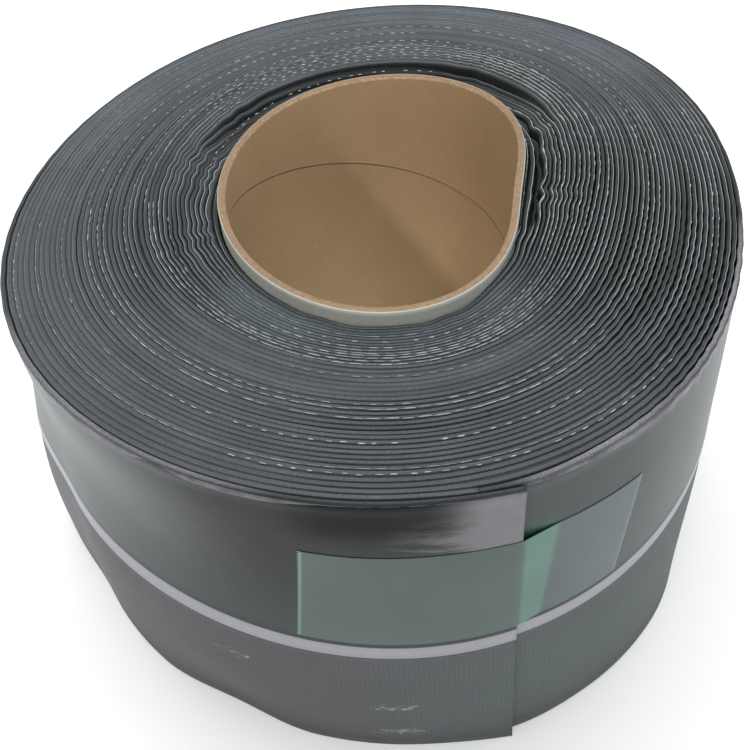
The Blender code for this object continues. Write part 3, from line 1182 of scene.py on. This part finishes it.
def add_camera():
    """The photograph's camera."""
    data = bpy.data.cameras.new("camera")
    data.sensor_width = SENSOR
    data.lens = FOCAL_PIXELS / FRAME_PIXELS * SENSOR
    data.shift_x = (FRAME_PIXELS / 2 - LENS_POINT[0]) / FRAME_PIXELS
    data.shift_y = (LENS_POINT[1] - FRAME_PIXELS / 2) / FRAME_PIXELS
    camera = bpy.data.objects.new("camera", data)
    pitch = math.radians(PITCH)
    tilt = math.radians(ROLL_TILT)
    ahead = np.array((0, math.cos(pitch), -math.sin(pitch)))
    above = np.array((0, math.sin(pitch), math.cos(pitch)))
    right = np.array((1, 0, 0))
    right, above = (
        math.cos(tilt) * right - math.sin(tilt) * above,
        math.sin(tilt) * right + math.cos(tilt) * above,
    )
    place = (AXIS[0], AXIS[1] - CAMERA_BACK * ROLL_RADIUS, CAMERA_HEIGHT * ROLL_RADIUS)
    columns = [(*axis, 0) for axis in (right, above, -ahead)] + [(*place, 1)]
    camera.matrix_world = Matrix(columns).transposed()
    bpy.context.collection.objects.link(camera)
    bpy.context.scene.camera = camera


def area_light(name, place, target, size, power):
    """A soft square light aimed at a point."""
    data = bpy.data.lights.new(name, "AREA")
    data.shape = "RECTANGLE"
    data.size, data.size_y = size
    data.energy = power
    light = bpy.data.objects.new(name, data)
    light.location = place
    direction = Vector(target) - Vector(place)
    light.rotation_euler = direction.to_track_quat("-Z", "Y").to_euler()
    bpy.context.collection.objects.link(light)
    return light


def studio():
    """A plain white floor and soft light."""
    mesh = bpy.data.meshes.new("floor")
    signs = ((-1, -1), (1, -1), (1, 1), (-1, 1))
    corners = [(x * FLOOR_REACH, y * FLOOR_REACH, 0) for x, y in signs]
    mesh.from_pydata(corners, [], [(0, 1, 2, 3)])
    graph = Graph("floor")
    graph.set(Base_Color=(0.9, 0.9, 0.9), Roughness=0.9)
    graph.set(Emission_Color=(1.0, 1.0, 1.0), Emission_Strength=0.28)
    mesh.materials.append(graph.material)
    floor = bpy.data.objects.new("floor", mesh)
    bpy.context.collection.objects.link(floor)
    world = bpy.data.worlds.new("studio")
    bpy.context.scene.world = world
    world.use_nodes = True
    background = world.node_tree.nodes["Background"]
    background.inputs[0].default_value = (0.97, 0.985, 1.0, 1.0)
    background.inputs[1].default_value = 0.72
    bpy.context.scene.view_settings.view_transform = "Standard"
    return floor, (
        area_light("above", (0.2, 0.5, 1.5), (0, 0, 0.1), (1.4, 1.4), 14),
        area_light("left", (-0.9, 0.7, 1.3), (0, 0, 0.1), (1.2, 1.2), 8),
    )


def bore_light(name, azimuth, elevation, power, colour, lit):
    """A small lamp that lights only the core, whose far side it leaves in shadow."""
    flat = BORE_LAMP_REACH * math.cos(math.radians(elevation))
    place = (
        flat * math.cos(math.radians(azimuth)),
        flat * math.sin(math.radians(azimuth)),
        CORE_LENGTH + BORE_LAMP_REACH * math.sin(math.radians(elevation)),
    )
    lamp = area_light(name, place, (0, 0, CORE_LENGTH), (0.12, 0.12), power)
    lamp.data.color = colour
    lamp.light_linking.receiver_collection = lit


def light_bore(pieces, tape, overhead):
    """Two small lamps that draw the crossing shadows in the bore, instead of the others."""
    lit = bpy.data.collections.new("bore_lit")
    for piece in pieces:
        lit.objects.link(piece)
    rest = bpy.data.collections.new("tape_lit")
    for piece in tape:
        rest.objects.link(piece)
    for light in overhead:
        light.light_linking.receiver_collection = rest
    bore_light("bore_front", -42, 74, 36, (1.0, 0.97, 0.90), lit)
    bore_light("bore_left", -145, 44, 14, (1.0, 0.88, 0.78), lit)


def mount(piece, node):
    """Put a piece in place of a node: hang it on the root body and hide the node."""
    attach(piece, "root")
    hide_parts(node)


def main():
    add_camera()
    floor, overhead = studio()
    edges = edge_material()
    tape = [
        winding_piece(f"winding_{number}", first, last, edges)
        for number, (first, last) in enumerate(zip(GROUPS[:-1], GROUPS[1:]), start=1)
    ]
    tape += [outer_turn(wall_material(), edges), yarns(yarn_material())]
    for piece in tape:
        mount(piece, "tape_roll")
    board = card_material()
    card = (core_tube(board), core_seam(board))
    for piece in card:
        mount(piece, "core")
    strip = strip_film(strip_material())
    mount(strip, "closing_strip")
    light_bore(card, [*tape, strip, floor], overhead)


main()
